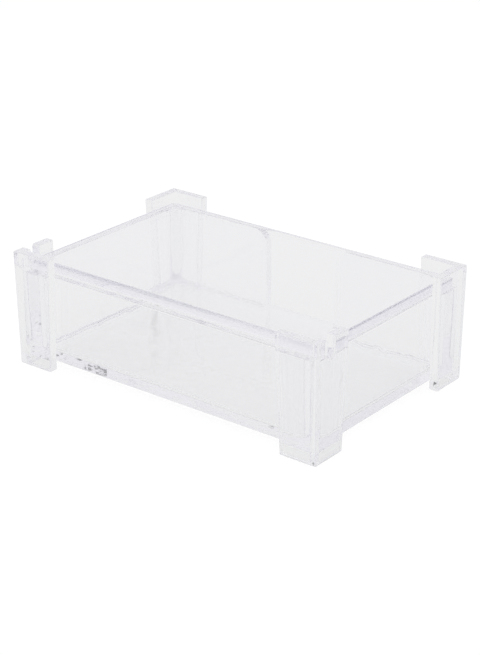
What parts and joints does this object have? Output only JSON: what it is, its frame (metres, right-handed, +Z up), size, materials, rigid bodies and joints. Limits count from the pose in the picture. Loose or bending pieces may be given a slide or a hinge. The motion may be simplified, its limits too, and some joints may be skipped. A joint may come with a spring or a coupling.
{
  "type": "business card holder",
  "caption": "Clear plastic business card box on angle-shaped corner posts, with a flat lid that swings up on end pins and a finger opening in one long wall.",
  "frame": {"origin": "on the table under the middle of the box, in the plane of the feet", "axes": "+Z up, +X along the length to the right, -Y towards the hinge side, +Y towards the finger opening"},
  "size_m": [0.1048, 0.0688, 0.034],
  "materials": {
    "clear_tray": "clear, polished",
    "clear_post": "clear, polished",
    "clear_lid": "clear, polished"
  },
  "bodies": {
    "base": {"card_tray": "clear_tray", "corner_post_front_left": "clear_post", "corner_post_front_right": "clear_post", "corner_post_back_left": "clear_post", "corner_post_back_right": "clear_post"},
    "lid": {"lid": "clear_lid"}
  },
  "joints": [
    {"name": "lid_hinge", "type": "hinge", "parent": "base", "child": "lid", "pos_m": [0, -0.0285, 0.02975], "axis": [1, 0, 0], "range_deg": [0, 110]}
  ]
}
